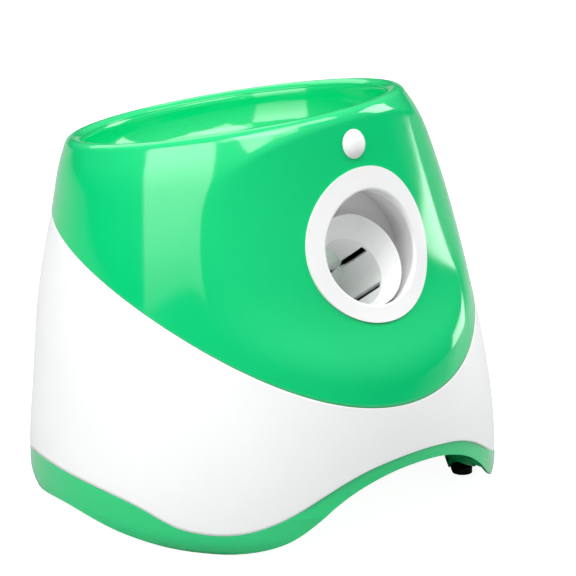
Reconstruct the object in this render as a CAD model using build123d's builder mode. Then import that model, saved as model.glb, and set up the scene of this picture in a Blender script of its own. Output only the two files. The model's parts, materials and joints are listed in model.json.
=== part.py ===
"""Automatic ball launcher for small dogs: a bell-shaped housing with a hopper on top.

A 40 mm ball rolls down the hopper bowl into the chamber of an inclined barrel. A motor turns a sector
gear through two reductions; the gear draws a sprung plunger back, and when its teeth run out the
plunger strikes the ball and drives it out of the flared mouth.

Frame: millimetres, +Z up, the launch direction towards -Y, X = 0 the plane of symmetry, and the origin
on the ground under the middle of the base.
"""
from build123d import *
import math
import os

os.makedirs("parts", exist_ok=True)

# ---------------------------------------------------------------- driving dimensions
BALL_RADIUS = 20.0
WALL = 2.8                      # housing skins
THIN_WALL = 2.2                 # inner mouldings
FIT = 0.3                       # gap between parts that slide together on assembly
RUN = 0.05                      # radial gap of a shaft in its bush

# Outer form: circles (centre y, centre z, lean in degrees, radius) from the ground to the rim
RIM_Y = 23.8
RIM_Z = 214.9
RIM_LEAN = 13.5
RIM_RADIUS = 95.3               # centreline of the rolled lip
LIP_RADIUS = 5.75
BODY_SECTIONS = [
    (0.0, 0.0, 0.0, 137.4),
    (0.3, 28.0, 0.0, 137.7),
    (1.0, 60.0, 0.0, 135.2),
    (4.1, 95.0, 0.0, 131.0),
    (8.6, 130.0, 3.0, 124.8),
    (12.5, 163.0, 8.0, 118.0),
    (18.6, 190.5, RIM_LEAN, 110.9),
]
SHOULDER_DROP = 9.0             # last full section below the lip, along the rim's own axis
SHOULDER_RADIUS = 105.9
GROUND_TUCK = (10.0, 14.0)      # how far the skirt curves in towards the ground, and from what height

# Flatter front: a surface turned about an upright axis, given by its line in the plane X = 0
FACET_AXIS_Y = 47.0
FACET_LINE = [
    (-141.0, 78.0), (-123.6, 105.5), (-111.2, 126.5), (-95.3, 168.5), (-82.6, 210.0), (-74.6, 240.0),
]

# Parting line of the two shells, seen from the side: one Bezier curve
PARTING = [(-150.0, 67.5), (0.0, 180.8), (150.0, 165.6)]

# Base band: four feet, a high arch in front and low ones at the sides and the back
FOOT_ANGLES = [-54.0, 54.0, 141.0, -141.0]      # from the front, seen from above
FOOT_CENTRE = 118.5
FOOT_BOSS = (34.0, 16.0)
FOOT_LIFT = 0.5                 # lowest edge of the base over the ground
BOSS_LIFT = 2.4
PAD_SIZE = (30.0, 12.0)
PAD_THICK = 4.0
# Lines of the band's upper edge and of the arches: (distance from the zone's middle, height)
FRONT_BAND = [
    (0.0, 53.9), (21.3, 52.3), (37.2, 48.9), (51.7, 43.1), (65.0, 35.6),
    (76.9, 27.9), (87.8, 21.6), (97.9, 17.3), (106.0, 15.4), (112.0, 15.0), (118.0, 15.2),
]
SIDE_BAND = [
    (0.0, 31.8), (16.0, 31.5), (33.3, 30.2), (50.2, 27.5), (65.0, 22.8),
    (77.9, 17.4), (86.0, 15.7), (94.5, 15.1), (104.0, 15.1),
]
BACK_BAND = [(0.0, 26.0), (22.0, 25.2), (42.0, 22.8), (58.0, 19.0), (70.0, 16.2), (82.0, 15.1), (90.0, 15.1)]
FRONT_ARCH = [
    (0.0, 47.0), (15.0, 46.1), (28.0, 43.4), (45.0, 36.8), (59.0, 27.8),
    (71.0, 17.6), (83.0, 9.4), (93.0, 4.8), (101.0, 2.2), (108.0, 0.7),
]
SIDE_ARCH = [(0.0, 12.6), (23.0, 10.6), (42.0, 7.2), (57.5, 4.6), (71.0, 2.3), (84.0, 0.9), (95.0, 0.7)]
BACK_ARCH = [(0.0, 12.0), (22.0, 10.6), (40.0, 7.4), (55.0, 3.6), (66.0, 1.4), (76.0, 0.7)]
SIDE_ANGLE = 97.0               # middle of the rise and the arch at each side
FLOOR_Z = 20.5
FLOOR = 2.5
LINER_TOP = 59.0
RECESS_START = 71.0             # back wall of the front arch, from the middle
TUNNEL_WALL = 2.6
COLUMN_ANGLES = [-130.0, -60.0, 60.0, 130.0]
COLUMN_CENTRE = 104.0
COLUMN_RADIUS = 5.0
COLUMN_FOOT = 26.0
COLUMN_TOP = 110.0
RIB = 2.4
SCREW_RADIUS = 1.5              # of the holes; the shanks are finer by SCREW_FIT
SCREW_FIT = 0.05
FRAME_SCREW = 6.5
HEAD_RADIUS = 3.0
HEAD_HEIGHT = 1.8

# Barrel axis: B is the middle of the barrel's front end, the bore rises to the front
BORE_RISE = 36.5
BARREL_Y = -77.1
BARREL_Z = 147.2
BORE_RADIUS = BALL_RADIUS + 1.0
BARREL_WALL = 2.4
BARREL_LENGTH = 134.0
CHAMBER = 38.0                  # ball centre behind the front end
FEED_RADIUS = 21.2
FEED_TOP = 40.0                 # collar height over the bore axis
SLOT_ANGLE = 32.0
SLOT_WIDTH = 4.0
SLOT_START = 2.0
SLOT_END = 57.0

# Muzzle
MOUTH_DEPTH = 11.3
MOUTH_SHIFT = 3.6
MOUTH_RADIUS = 29.8
BEZEL_Y = -94.85
BEZEL_Z = 168.5
BEZEL_RISE = 20.7
BEZEL_RADIUS = 44.9
BEZEL_PROUD = 1.3
MUZZLE_RADIUS = 33.0
MUZZLE_DROP = 1.7               # opening below the middle of the bezel
SHROUD_RADIUS = 38.4
SHROUD_DEPTH = 25.0
LIP_ROUND = 1.5
MOUTH_WALL = 2.0
MOUTH_CLEAR = 0.8               # gap between the flared mouth and the shroud round it
MOUTH_EDGE = 0.9
FLANGE_RADIUS = 26.5
FLANGE = 2.0

# Sensor dome
DOME_Z = 225.0
DOME_Y = -78.7
DOME_RISE = 14.5
DOME_RADIUS = 8.5
DOME_HEIGHT = 4.2
SENSOR_DEPTH = 9.0              # back of the sensor board under the dome's foot
SENSOR_POSTS = [(-12.5, -2.0), (12.5, -2.0)]

# Plunger, spring and rack
TRAVEL = 36.0
HEAD_GAP = 1.5                  # head behind the resting ball
HEAD_THICK = 6.0
HEAD_CLEAR = 0.35
STRIKER_THICK = 2.0
STEM_RADIUS = 4.0
STEM_TAIL = 4.0
CAP_THICK = 6.0
SPRING_WIRE = 0.9
SPRING_RADIUS = 11.0
SPRING_TURNS = 9
RACK_LINE = 31.0                # pitch line under the bore axis
RACK_WIDTH = 8.0
RACK_AHEAD = 9                  # rack teeth in front of the sector shaft at rest
WEB = 5.0                       # joins the head to the rack through the barrel's slot
WEB_LENGTH = 16.0

# Gear train
MODULE = 1.5
SECTOR_TEETH = 22
SECTOR_KEPT = 13
FINE_MODULE = 1.0
OUTPUT_TEETH = 48
STEP_TEETH = 12
MOTOR_MODULE = 0.8
WHEEL_TEETH = 40
PINION_TEETH = 10
PRESSURE_ANGLE = 25.0
BACKLASH = 0.16
SECTOR_S = 88.0                 # sector shaft behind the barrel's front end
COMPOUND_BEARING = 24.0
MOTOR_BEARING = 50.0
SHAFT_RADIUS = 2.0
BUSH_RADIUS = 3.6
BUSH_FLANGE = 5.2
PLATE_X = 27.5
PLATE = 2.5
MOTOR_RADIUS = 12.2
MOTOR_LENGTH = 30.0

WHEEL_X = 20.3
OUTPUT_X = 12.0
OUTPUT_WIDTH = 6.0
SECTOR_WIDTH = 10.0
CAM_X = -26.0
CAM_RADIUS = 9.0

# Frame and what stands on the floor (world y, z)
FRAME_OUTLINE = [(-54, 26), (46, 26), (46, 62), (37, 79), (-16, 118), (-34, 112), (-54, 66)]
FRAME_FEET = [(36, -40), (36, 34)]
SPACER_PLACES = [(-48, 31), (38, 34)]
SPACER_RADIUS = 3.0
BARREL_LUGS = [75.0, 120.0]
LUG_RADIUS = 4.5
BATTERY_Y = 91.0
BATTERY_SIZE = (100.0, 34.0, 28.0)
DOOR_LEDGE = 2.0
DOOR_THICK = 1.6
CONTROL_BOARD = ((-98.0, -52.0), (-34.0, 34.0), 30.0)
BOARD = 1.6
BOARD_PEGS = [(-94.0, -29.0), (-94.0, 29.0), (-56.0, -29.0), (-56.0, 29.0)]
REAR_BOARD_TOP = 84.0
REAR_BOARD_Y = 116.0
BUTTON_X = 20.0
JACK_X = -20.0
REAR_Z = 73.0
BUTTON_RADIUS = 7.8
BUTTON_TRAVEL = 1.5
BUTTON_FACE_Y = 137.0
JACK_RADIUS = 5.5

# ---------------------------------------------------------------- frames and shared forms
rise = math.radians(BORE_RISE)
FORWARD = (0, -math.cos(rise), math.sin(rise))
BACK = (0, math.cos(rise), -math.sin(rise))
OVER = (0, math.sin(rise), math.cos(rise))


def on_bore(s, t=0.0):
    """World (y, z) of the point s behind the barrel's front end and t over its axis."""
    return (BARREL_Y + s * BACK[1] + t * OVER[1], BARREL_Z + s * BACK[2] + t * OVER[2])


def across(s, t=0.0):
    """Plane square to the bore, z towards the mouth, at s behind the front end and t over the axis."""
    y, z = on_bore(s, t)
    return Plane(origin=(0, y, z), x_dir=(1, 0, 0), z_dir=FORWARD)


def beside(x):
    """Plane at x, seen from +X: its own x runs back along the bore and its y over it."""
    return Plane(origin=(x, BARREL_Y, BARREL_Z), x_dir=BACK, z_dir=(1, 0, 0))


def upright(x):
    """Plane at x parallel to YZ, with world y and z as its coordinates."""
    return Plane(origin=(x, 0, 0), x_dir=(0, 1, 0), z_dir=(1, 0, 0))


def leaning(y, z, lean):
    """Plane whose normal leans back from the vertical by lean degrees."""
    angle = math.radians(lean)
    return Plane(origin=(0, y, z), x_dir=(1, 0, 0), z_dir=(0, math.sin(angle), math.cos(angle)))


def radial(angle, start=0.0):
    """Upright plane facing outwards at an angle from the front, its x running round the body."""
    turn = math.radians(angle)
    out = (math.sin(turn), -math.cos(turn), 0)
    along = (math.cos(turn), math.sin(turn), 0)
    return Plane(origin=(out[0] * start, out[1] * start, 0), x_dir=along, z_dir=out)


def rim_plane(height):
    """Plane parallel to the rim's own, at a height over the lip's centreline."""
    return leaning(RIM_Y, RIM_Z, RIM_LEAN).offset(height)


def body(inset):
    """The housing's outer form drawn in by inset: circles that lean back towards the rim."""
    with BuildPart() as form:
        for y, z, lean, radius in BODY_SECTIONS:
            with BuildSketch(leaning(y, z, lean)):
                Circle(radius - inset)
        with BuildSketch(rim_plane(-SHOULDER_DROP)):
            Circle(SHOULDER_RADIUS - inset)
        with BuildSketch(rim_plane(0)):
            Circle(RIM_RADIUS + LIP_RADIUS - inset)
        loft()
    return form.part


def facet(inset):
    """Everything behind the flatter front surface, drawn in by inset."""
    line = [(2 * FACET_AXIS_Y - y - inset, z) for y, z in FACET_LINE]
    top = 270.0
    with BuildPart() as form:
        with BuildSketch(Plane.YZ):
            with BuildLine():
                Spline(line)
                Polyline(
                    line[-1],
                    (line[-1][0], top),
                    (FACET_AXIS_Y, top),
                    (FACET_AXIS_Y, -10),
                    (line[0][0] + 20, -10),
                    line[0],
                )
            make_face()
        revolve(axis=Axis((0, FACET_AXIS_Y, 0), (0, 0, 1)))
    return form.part


def reflected(line):
    """The line seen from the other side."""
    return [(-x, z) for x, z in reversed(line)]


def both_sides(line):
    """A line from its zone's middle, continued to the other side."""
    return reflected(line)[:-1] + line


def under_lines(zones):
    """Prisms running outwards, filled below their lines: (angle, line, start from the middle)."""
    bottom = -10.0
    with BuildPart() as filled:
        for angle, line, start in zones:
            with BuildSketch(radial(angle, start)):
                with BuildLine():
                    Spline(line)
                    Polyline(line[-1], (line[-1][0], bottom), (line[0][0], bottom), line[0])
                make_face()
            extrude(amount=170 - start)
    return filled.part


def housing_form(inset):
    """The whole outer form with its flatter front, drawn in by inset."""
    return body(inset) & facet(inset)


def above_parting(shift=0.0):
    """Everything over the parting line of the two shells, moved up by shift."""
    with BuildPart() as zone:
        with BuildSketch(Plane.YZ):
            with BuildLine():
                curve = Bezier(*[(y, z + shift) for y, z in PARTING])
                Polyline(curve @ 1, (PARTING[-1][0], 300), (PARTING[0][0], 300), curve @ 0)
            make_face()
        extrude(amount=160, both=True)
    return zone.part


def profile(origin, direction):
    """Plane through an axis in the plane of symmetry: its x is the radius and its y runs along the axis."""
    return Plane(origin=origin, x_dir=(1, 0, 0), z_dir=(0, -direction[2], direction[1]))


def turned(points, origin, direction):
    """Solid turned from (radius, height) points about an axis."""
    with BuildPart() as form:
        with BuildSketch(profile(origin, direction)):
            with BuildLine():
                Polyline(points, close=True)
            make_face()
        revolve(axis=Axis(origin, direction))
    return form.part


def pegs(places, radius, low, high):
    """Upright round pegs at (x, y) places between two heights."""
    with BuildPart() as group:
        with BuildSketch(Plane.XY.offset(low)):
            with Locations(*places):
                Circle(radius)
        extrude(amount=high - low)
    return group.part


def foot_blocks(size, low, high):
    """A long rounded block under each foot, lying along the body's edge."""
    with BuildPart() as group:
        with BuildSketch(Plane.XY.offset(low)):
            for angle, place in zip(FOOT_ANGLES, around(FOOT_ANGLES, FOOT_CENTRE)):
                with Locations(Location((*place, 0), angle)):
                    SlotOverall(*size)
        extrude(amount=high - low)
    return group.part


def around(angles, radius):
    """(x, y) places at angles from the front on a circle."""
    turns = [math.radians(angle) for angle in angles]
    return [(radius * math.sin(turn), -radius * math.cos(turn)) for turn in turns]


def involute(angle):
    return math.tan(angle) - angle


def gear_outline(centre, module, teeth, first, kept=None):
    """Outline of a spur gear with teeth from the direction first, anticlockwise; kept limits them."""
    pitch = module * teeth / 2
    base = pitch * math.cos(math.radians(PRESSURE_ANGLE))
    root = pitch - 1.05 * module
    tip = pitch + 0.8 * module

    def half(radius):
        """Half the angle a tooth takes up at a radius."""
        swing = math.acos(min(1.0, base / radius))
        middle = math.pi / 2 / teeth - BACKLASH / 4 / pitch
        return middle + involute(math.radians(PRESSURE_ANGLE)) - involute(swing)

    start = max(root, base)
    flank = [(radius, half(max(radius, base))) for radius in sorted({root, start + 0.01, pitch, tip})]
    points = []
    for index in range(kept or teeth):
        middle = math.radians(first) + index * 2 * math.pi / teeth
        rising = [(radius, middle - angle) for radius, angle in flank]
        falling = [(radius, middle + angle) for radius, angle in reversed(flank)]
        points += rising + falling
    if kept:
        end = math.radians(first) + (kept - 0.5) * 2 * math.pi / teeth
        gap = 2 * math.pi - (kept * 2 * math.pi / teeth)
        points += [(root, end + gap * step / 8) for step in range(1, 8)]
    return [(centre[0] + r * math.cos(a), centre[1] + r * math.sin(a)) for r, a in points]


def gear(centre, module, teeth, first, x, width, bore, kept=None):
    """Spur gear across the bore's side plane, from x and width thick."""
    with BuildPart() as wheel:
        with BuildSketch(beside(x)):
            with BuildLine():
                Polyline(gear_outline(centre, module, teeth, first, kept), close=True)
            make_face()
            with Locations(centre):
                Circle(bore, mode=Mode.SUBTRACT)
        extrude(amount=width)
    return wheel.part


def block(x, y, z, corner=0.0):
    """Rectangular block between (low, high) pairs, its upright edges rounded where a corner is given."""
    with BuildPart() as form:
        with BuildSketch(Plane.XY.offset(z[0])):
            with Locations(((x[0] + x[1]) / 2, (y[0] + y[1]) / 2)):
                if corner:
                    RectangleRounded(x[1] - x[0], y[1] - y[0], corner)
                else:
                    Rectangle(x[1] - x[0], y[1] - y[0])
        extrude(amount=z[1] - z[0])
    return form.part


def screw(place, direction, length):
    """Pan-head screw: its seat at place, its point in the given direction."""
    away = tuple(-part for part in direction)
    with BuildPart() as form:
        with BuildSketch(Plane(origin=place, z_dir=direction)):
            Circle(SCREW_RADIUS - SCREW_FIT)
        extrude(amount=length)
        with BuildSketch(Plane(origin=place, z_dir=away)):
            Circle(HEAD_RADIUS)
        extrude(amount=HEAD_HEIGHT, taper=20)
    return form.part


def finish(part, name):
    """Label a finished piece and write its STEP file."""
    part.label = name
    export_step(part, f"parts/{name}.step")


def rod(s, t, radius, start, end):
    """Round rod along X at (s, t) beside the bore."""
    with BuildPart() as bar:
        with BuildSketch(beside(start)):
            with Locations((s, t)):
                Circle(radius)
        extrude(amount=end - start)
    return bar.part


# ---------------------------------------------------------------- forms used by several pieces
skin_proud = housing_form(-BEZEL_PROUD)
skin_out = housing_form(0)
skin_mid = housing_form(WALL / 2)
skin_in = housing_form(WALL)
over_parting = above_parting()
under_band = under_lines([
    (0.0, both_sides(FRONT_BAND), 50),
    (SIDE_ANGLE, both_sides(SIDE_BAND), 50),
    (-SIDE_ANGLE, both_sides(SIDE_BAND), 50),
    (180.0, both_sides(BACK_BAND), 50),
])
low_arches = [
    (SIDE_ANGLE, both_sides(SIDE_ARCH), 105),
    (-SIDE_ANGLE, both_sides(SIDE_ARCH), 105),
    (180.0, both_sides(BACK_ARCH), 105),
]
arches = under_lines([(0.0, both_sides(FRONT_ARCH), RECESS_START)] + low_arches)
column_places = around(COLUMN_ANGLES, COLUMN_CENTRE)

MUZZLE_AXIS = (0, -math.cos(math.radians(BEZEL_RISE)), math.sin(math.radians(BEZEL_RISE)))
MUZZLE_UP = (0, math.sin(math.radians(BEZEL_RISE)), math.cos(math.radians(BEZEL_RISE)))
bezel_centre = (0, BEZEL_Y, BEZEL_Z)
muzzle_centre = (0, BEZEL_Y - MUZZLE_DROP * MUZZLE_UP[1], BEZEL_Z - MUZZLE_DROP * MUZZLE_UP[2])
bezel_plane = Plane(origin=bezel_centre, x_dir=(1, 0, 0), z_dir=MUZZLE_AXIS)
muzzle_plane = Plane(origin=muzzle_centre, x_dir=(1, 0, 0), z_dir=MUZZLE_AXIS)
DOME_AXIS = (0, -math.cos(math.radians(DOME_RISE)), math.sin(math.radians(DOME_RISE)))
dome_centre = (0, DOME_Y, DOME_Z)
dome_plane = Plane(origin=dome_centre, x_dir=(1, 0, 0), z_dir=DOME_AXIS)


def column_ribs(low, high):
    """Upright ribs from the columns out to the middle of the skin."""
    with BuildPart() as ribs:
        for angle in COLUMN_ANGLES:
            with BuildSketch(radial(angle, COLUMN_CENTRE)):
                with Locations((0, (low + high) / 2)):
                    Rectangle(RIB, high - low)
            extrude(amount=40)
        add(skin_mid, mode=Mode.INTERSECT)
    return ribs.part


def rear_plane(x, y):
    """Plane facing backwards at (x, REAR_Z), for what sits in the rear wall."""
    return Plane(origin=(x, y, REAR_Z), x_dir=(1, 0, 0), z_dir=(0, 1, 0))


# ---------------------------------------------------------------- housing
sensor_board_plane = dome_plane.offset(-SENSOR_DEPTH)
with BuildPart() as sensor_posts:
    with BuildSketch(sensor_board_plane.offset(BOARD)):
        with Locations(*SENSOR_POSTS):
            Circle(2)
    extrude(amount=SENSOR_DEPTH)
    add(skin_mid, mode=Mode.INTERSECT)

with BuildPart() as upper_shell:
    add(skin_out)
    add(skin_in, mode=Mode.SUBTRACT)
    add(over_parting, mode=Mode.INTERSECT)
    add(column_ribs(COLUMN_TOP, 185) & above_parting(2.0))
    add(pegs(column_places[1:3], COLUMN_RADIUS, COLUMN_TOP + FIT, 150))
    add(pegs([column_places[0], column_places[3]], COLUMN_RADIUS, COLUMN_TOP + FIT, 178))
    with BuildSketch(Plane.XY.offset(COLUMN_TOP)):
        with Locations(*column_places):
            Circle(SCREW_RADIUS)
    extrude(amount=22, mode=Mode.SUBTRACT)
    with BuildSketch(muzzle_plane.offset(-30)):
        Circle(SHROUD_RADIUS + THIN_WALL + FIT)
    extrude(amount=60, mode=Mode.SUBTRACT)
    with BuildSketch(dome_plane.offset(-8)):
        Circle(DOME_RADIUS - 1)
    extrude(amount=16, mode=Mode.SUBTRACT)
    add(sensor_posts.part)
finish(upper_shell.part, "upper_shell")

with BuildPart() as lower_shell:
    add(skin_out)
    add(skin_in, mode=Mode.SUBTRACT)
    add(over_parting, mode=Mode.SUBTRACT)
    add(under_band, mode=Mode.SUBTRACT)
    add(column_ribs(LINER_TOP + 3, COLUMN_TOP))
    add(pegs(column_places, COLUMN_RADIUS, COLUMN_FOOT, COLUMN_TOP))
    with BuildSketch(Plane.XY.offset(COLUMN_FOOT)):
        with Locations(*column_places):
            Circle(SCREW_RADIUS)
    extrude(amount=COLUMN_TOP - COLUMN_FOOT, mode=Mode.SUBTRACT)
    for x, radius in ((BUTTON_X, BUTTON_RADIUS + FIT), (JACK_X, JACK_RADIUS + FIT)):
        with BuildSketch(rear_plane(x, 120)):
            Circle(radius)
        extrude(amount=30, mode=Mode.SUBTRACT)
finish(lower_shell.part, "lower_shell")

RIM_AXIS = (0, math.sin(math.radians(RIM_LEAN)), math.cos(math.radians(RIM_LEAN)))
rim_centre = (0, RIM_Y, RIM_Z)
throat_y, throat_z = on_bore(CHAMBER, FEED_TOP + 8)


def bowl_form(outset):
    """Inside of the hopper bowl grown by outset: circles from the lip down to the throat."""
    inner = RIM_RADIUS - LIP_RADIUS
    with BuildPart() as form:
        for plane, radius in [
            (rim_plane(0), inner),
            (rim_plane(-14), inner - 2.6),
            (leaning(5, 176, 16.2), 57.3),
            (leaning(throat_y, throat_z, BORE_RISE), FEED_RADIUS + 0.8),
        ]:
            with BuildSketch(plane):
                Circle(radius + outset)
        loft()
    return form.part


with BuildPart() as hopper_bowl:
    add(bowl_form(THIN_WALL))
    with BuildSketch(leaning(throat_y, throat_z, BORE_RISE)):
        Circle(FEED_RADIUS + 0.8 + THIN_WALL)
    extrude(amount=-(8 - FIT))
    add(bowl_form(0), mode=Mode.SUBTRACT)
    with BuildSketch(leaning(throat_y, throat_z, BORE_RISE)):
        Circle(FEED_RADIUS + 0.8)
    extrude(amount=-8, mode=Mode.SUBTRACT)
    # rolled lip, hollow underneath, and the ring that centres it in the shell
    with BuildSketch(profile(rim_centre, RIM_AXIS)):
        with Locations((RIM_RADIUS, 0)):
            Circle(LIP_RADIUS)
            Circle(LIP_RADIUS - THIN_WALL, mode=Mode.SUBTRACT)
            Rectangle(3 * LIP_RADIUS, LIP_RADIUS, align=(Align.CENTER, Align.MAX), mode=Mode.SUBTRACT)
        with Locations((RIM_RADIUS + LIP_RADIUS - WALL - FIT, -3)):
            Rectangle(1.6, 6, align=(Align.MAX, Align.MIN))
    revolve(axis=Axis(rim_centre, RIM_AXIS))
finish(hopper_bowl.part, "hopper_bowl")

liner_out = body(WALL + FIT)
liner_in = body(WALL + FIT + THIN_WALL)
frame_feet = [(x * side, y) for x, y in FRAME_FEET for side in (-1, 1)]
raised_arch = [(x, z + TUNNEL_WALL) for x, z in FRONT_ARCH]
tunnel = under_lines([(0.0, both_sides(raised_arch), RECESS_START - TUNNEL_WALL)])
well_x = (-BATTERY_SIZE[0] / 2, BATTERY_SIZE[0] / 2)
well_y = (BATTERY_Y - BATTERY_SIZE[1] / 2, BATTERY_Y + BATTERY_SIZE[1] / 2)


def grown(pair, by):
    """A (low, high) pair widened by a length at each end."""
    return (pair[0] - by, pair[1] + by)


ledge_x = grown(well_x, DOOR_LEDGE)
ledge_y = grown(well_y, DOOR_LEDGE)
door_top = FLOOR_Z + DOOR_THICK + 0.1
door_screw = [(0, well_y[0] + 1)]


def ground_form(inset, low):
    """Round form that curves in towards the ground, as far inside the skirt's outside as inset."""
    tuck, height = GROUND_TUCK
    level = FOOT_LIFT + height
    wide = BODY_SECTIONS[1][3] + 0.1 - inset
    with BuildPart() as form:
        with BuildSketch(Plane.XZ):
            with Locations((0, level)):
                Rectangle(wide, 90, align=(Align.MIN, Align.MIN))
            with Locations((0, low)):
                Rectangle(wide - tuck, level - low, align=(Align.MIN, Align.MIN))
            with Locations((wide - tuck, level)):
                Ellipse(tuck, height)
        revolve(axis=Axis.Z)
    return form.part


with BuildPart() as base:
    add(body(0))
    add(under_band, mode=Mode.INTERSECT)
    add(liner_out & block((-150, 150), (-150, 150), (12, LINER_TOP)))
    add(liner_in & block((-150, 150), (-150, 150), (FLOOR_Z + FLOOR, 90)), mode=Mode.SUBTRACT)
    add(ground_form(WALL, -5) & block((-150, 150), (-150, 150), (-5, FLOOR_Z)), mode=Mode.SUBTRACT)
    add(tunnel & liner_out & block((-150, 150), (-150, -40), (FLOOR_Z, 70)))
    add(foot_blocks(FOOT_BOSS, BOSS_LIFT, FLOOR_Z + 1))
    add(pegs(column_places, COLUMN_RADIUS, FLOOR_Z, COLUMN_FOOT))
    add(pegs(frame_feet, 5, FLOOR_Z, FRAME_OUTLINE[0][1]))
    add(pegs(BOARD_PEGS, 2.5, FLOOR_Z, CONTROL_BOARD[2]))
    add(block(grown(well_x, 3), grown(well_y, 3), (FLOOR_Z, FLOOR_Z + DOOR_THICK + BATTERY_SIZE[2] + 2), 3))
    add(arches, mode=Mode.SUBTRACT)
    add(ground_form(0, FOOT_LIFT), mode=Mode.INTERSECT)
    add(block(ledge_x, ledge_y, (FLOOR_Z - 1, door_top), 2), mode=Mode.SUBTRACT)
    add(block(well_x, well_y, (door_top - 1, door_top + BATTERY_SIZE[2]), 2), mode=Mode.SUBTRACT)
    add(pegs(door_screw, 4, door_top, door_top + 12))
    add(pegs(door_screw, SCREW_RADIUS, door_top - 1, door_top + 10), mode=Mode.SUBTRACT)
    add(foot_blocks((PAD_SIZE[0] + FIT, PAD_SIZE[1] + FIT), FOOT_LIFT - 1, PAD_THICK), mode=Mode.SUBTRACT)
    add(pegs(column_places, SCREW_RADIUS, FLOOR_Z - 1, COLUMN_FOOT + 1), mode=Mode.SUBTRACT)
    add(pegs(frame_feet, SCREW_RADIUS, FLOOR_Z + 1, 30), mode=Mode.SUBTRACT)
finish(base.part, "base")
finish(foot_blocks(PAD_SIZE, 0, PAD_THICK), "foot_pads")

with BuildPart() as battery_door:
    add(block(grown(ledge_x, -FIT), grown(ledge_y, -FIT), (FLOOR_Z, FLOOR_Z + DOOR_THICK), 1.7))
    add(pegs(door_screw, SCREW_RADIUS, FLOOR_Z - 1, FLOOR_Z + 5), mode=Mode.SUBTRACT)
finish(battery_door.part, "battery_door")
finish(screw((*door_screw[0], FLOOR_Z), (0, 0, 1), 9), "battery_door_screw")

with BuildPart() as battery_contacts:
    for side in (-1, 1):
        edge = well_x[1] * side
        contact_x = sorted((edge, edge - side * 0.6))
        add(block(contact_x, (BATTERY_Y - 13, BATTERY_Y + 13), (door_top + 4, door_top + 22)))
        with BuildSketch(Plane(origin=(contact_x[0], 0, 0), x_dir=(0, 1, 0), z_dir=(1, 0, 0))):
            with Locations((BATTERY_Y - 7, door_top + 13), (BATTERY_Y + 7, door_top + 13)):
                Circle(3)
        extrude(amount=1.8 if side < 0 else -1.2)
finish(battery_contacts.part, "battery_contacts")

with BuildPart() as housing_screws:
    for x, y in column_places:
        add(screw((x, y, FLOOR_Z), (0, 0, 1), COLUMN_TOP + 12 - FLOOR_Z))
finish(housing_screws.part, "housing_screws")

# ---------------------------------------------------------------- muzzle and sensor
flare_y, flare_z = on_bore(-MOUTH_DEPTH, MOUTH_SHIFT)
flare_plane = Plane(origin=(0, flare_y, flare_z), x_dir=(1, 0, 0), z_dir=FORWARD)


def flare_form(back_radius, front_radius):
    """Eccentric cone from the bore's front end to the flared edge."""
    with BuildPart() as form:
        with BuildSketch(across(0)):
            Circle(back_radius)
        with BuildSketch(flare_plane):
            Circle(front_radius)
        loft()
    return form.part


with BuildPart() as barrel_mouth:
    add(flare_form(BORE_RADIUS + MOUTH_WALL, MOUTH_RADIUS))
    with BuildSketch(across(0)):
        Circle(FLANGE_RADIUS)
    extrude(amount=FLANGE)
    add(flare_form(BORE_RADIUS, MOUTH_RADIUS - MOUTH_WALL), mode=Mode.SUBTRACT)
    edge_face = barrel_mouth.faces().sort_by(Axis((0, 0, 0), FORWARD))[-1]
    fillet(edge_face.edges().sort_by(SortBy.LENGTH)[-1], MOUTH_EDGE)
finish(barrel_mouth.part, "barrel_mouth")

cavity = turned(
    [(0, 25), (MUZZLE_RADIUS, 25), (MUZZLE_RADIUS, -4.4), (MUZZLE_RADIUS + 3, -7.2),
     (SHROUD_RADIUS, -SHROUD_DEPTH), (0, -SHROUD_DEPTH)],
    muzzle_centre, MUZZLE_AXIS,
)
with BuildPart() as muzzle_bezel:
    with BuildSketch(bezel_plane.offset(-25)):
        Circle(BEZEL_RADIUS)
    extrude(amount=45)
    add(skin_out, mode=Mode.SUBTRACT)
    with BuildSketch(muzzle_plane.offset(-SHROUD_DEPTH - THIN_WALL)):
        Circle(SHROUD_RADIUS + THIN_WALL)
    extrude(amount=SHROUD_DEPTH + 25)
    add(skin_proud, mode=Mode.INTERSECT)
    add(cavity, mode=Mode.SUBTRACT)
    lip_edges = muzzle_bezel.edges().filter_by(GeomType.BSPLINE).filter_by(lambda edge: edge.length < 230)
    fillet(lip_edges, LIP_ROUND)
    # way for the flared mouth and its flange
    add(flare_form(BORE_RADIUS + MOUTH_WALL + MOUTH_CLEAR, MOUTH_RADIUS + MOUTH_CLEAR), mode=Mode.SUBTRACT)
    with BuildSketch(across(-FLANGE - MOUTH_CLEAR)):
        Circle(FLANGE_RADIUS + MOUTH_CLEAR)
    extrude(amount=-30, mode=Mode.SUBTRACT)
    with BuildSketch(flare_plane):
        Circle(MOUTH_RADIUS + MOUTH_CLEAR)
    extrude(amount=10, mode=Mode.SUBTRACT)
finish(muzzle_bezel.part, "muzzle_bezel")

with BuildPart() as sensor_lens:
    with BuildSketch(profile(dome_centre, DOME_AXIS)):
        with BuildLine():
            ThreePointArc((0, DOME_HEIGHT), (DOME_RADIUS * 0.6, DOME_HEIGHT * 0.77), (DOME_RADIUS, 0))
            Polyline(
                (DOME_RADIUS, 0),
                (DOME_RADIUS - 1.3, 0),
                (DOME_RADIUS - 1.3, -3.5),
                (DOME_RADIUS + 1, -3.5),
                (DOME_RADIUS + 1, -4.8),
                (DOME_RADIUS - 3, -4.8),
                (DOME_RADIUS - 3, 1.0),
                (0, 2.0),
                (0, DOME_HEIGHT),
            )
        make_face()
    revolve(axis=Axis(dome_centre, DOME_AXIS))
finish(sensor_lens.part, "sensor_lens")

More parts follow.
